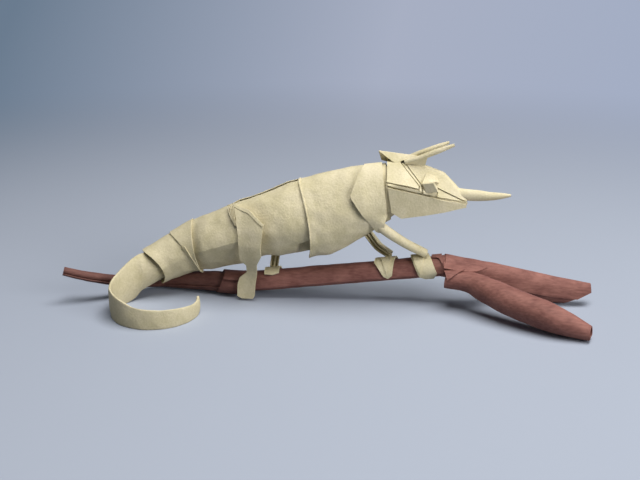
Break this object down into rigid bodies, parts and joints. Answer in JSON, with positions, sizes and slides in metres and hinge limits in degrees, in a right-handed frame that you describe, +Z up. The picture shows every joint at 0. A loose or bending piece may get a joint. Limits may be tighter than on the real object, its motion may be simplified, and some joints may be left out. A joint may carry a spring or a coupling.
{
  "type": "origami chameleon",
  "caption": "Chameleon folded from paper, with a curled tail, square eyes and three horns, gripping a rolled-paper branch that forks into leaves.",
  "frame": {"origin": "on the floor under the middle of the whole model's bounding box", "axes": "+X from the tail to the snout along the branch, +Y to the far side of the picture, +Z up; the tail curls to -Y"},
  "size_m": [0.2627, 0.0634, 0.0826],
  "materials": {
    "cream_paper": "matt folded craft paper, cream with an olive cast",
    "brown_paper": "matt folded craft paper, red-brown"
  },
  "bodies": {
    "root": {"chameleon": "cream_paper", "branch": "brown_paper"}
  },
  "joints": []
}
